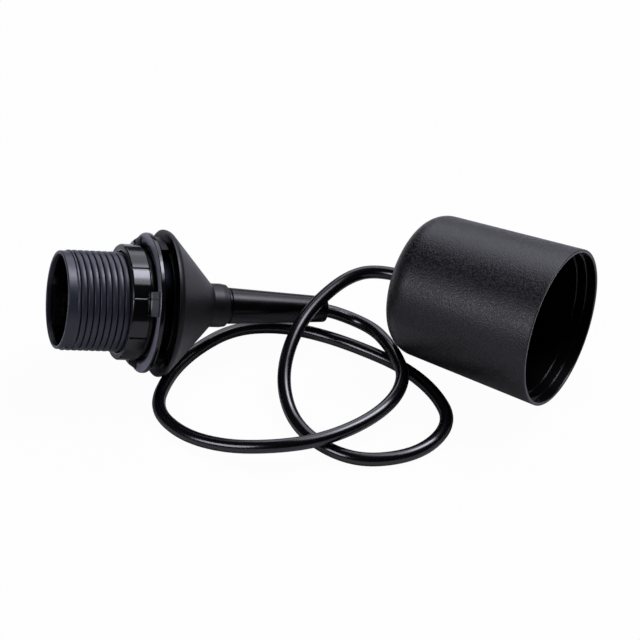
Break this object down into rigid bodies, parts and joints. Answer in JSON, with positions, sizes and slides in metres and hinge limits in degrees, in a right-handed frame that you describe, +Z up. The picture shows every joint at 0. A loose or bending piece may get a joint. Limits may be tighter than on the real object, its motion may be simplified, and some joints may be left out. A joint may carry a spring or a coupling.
{
  "type": "pendant light fitting",
  "caption": "Pendant light fitting: screw lamp holder with threaded shade ring, cone cap and cord strain relief, on a round cord with a cup that covers the ceiling hook.",
  "frame": {"origin": "on the floor, under the middle of the box round the holder and the cup as they lie", "axes": "+Z up, +X along the ceiling cup from its closed end to its mouth, seen from above"},
  "size_m": [0.1928, 0.1438, 0.0652],
  "materials": {
    "matte_black": "matte",
    "cup_black": "fine eroded grain outside, smooth inside",
    "gloss_black": "gloss",
    "insulator": "matte",
    "hanger_black": "satin",
    "block_housing": "satin",
    "brass": "bright",
    "steel": "zinc plated",
    "cord_sheath": "satin",
    "live_sheath": "satin",
    "neutral_sheath": "satin"
  },
  "bodies": {
    "holder": {"cone_cap": "matte_black", "strain_relief_tube": "matte_black", "cord_grip": "matte_black", "threaded_barrel": "gloss_black", "socket_insert": "insulator", "cord_hanger": "hanger_black", "clamp_bridge": "hanger_black", "terminal_block": "block_housing", "screw_shell": "brass", "centre_terminal": "brass", "shell_terminal": "brass", "terminal_sleeves": "brass", "holder_terminal_screws": "steel", "clamp_screws": "steel", "terminal_block_screws": "steel", "cord": "cord_sheath", "holder_cord_tail": "cord_sheath", "cup_cord_tail": "cord_sheath", "holder_live_core": "live_sheath", "cup_live_core": "live_sheath", "holder_neutral_core": "neutral_sheath", "cup_neutral_core": "neutral_sheath"},
    "washer": {"shade_washer": "gloss_black"},
    "ring": {"shade_ring": "gloss_black"},
    "cup": {"ceiling_cup": "cup_black", "cord_bush": "cup_black"},
    "contact": {"centre_contact": "brass"}
  },
  "joints": [
    {"name": "ring_travel", "type": "slide", "parent": "holder", "child": "washer", "axis": [-0.6669, -0.7028, 0.2476], "range_m": [0, 0.0225]},
    {"name": "ring_turn", "type": "hinge", "parent": "washer", "child": "ring", "pos_m": [-0.06201, -0.03713, 0.03238], "axis": [-0.6669, -0.7028, 0.2476], "range_deg": [0, 3240]},
    {"name": "cup_slide", "type": "slide", "parent": "holder", "child": "cup", "axis": [0.9988, 0, 0.0485], "range_m": [0, 0.012]},
    {"name": "contact_flex", "type": "hinge", "parent": "holder", "child": "contact", "pos_m": [-0.05273, -0.041, 0.03147], "axis": [-0.1704, -0.1796, -0.9689], "range_deg": [0, 15], "stiffness_Nm_per_rad": 0.1}
  ],
  "couplings": [
    {"joint": "ring_travel", "follows": "ring_turn", "m_per_rad": 0.00039789}
  ]
}
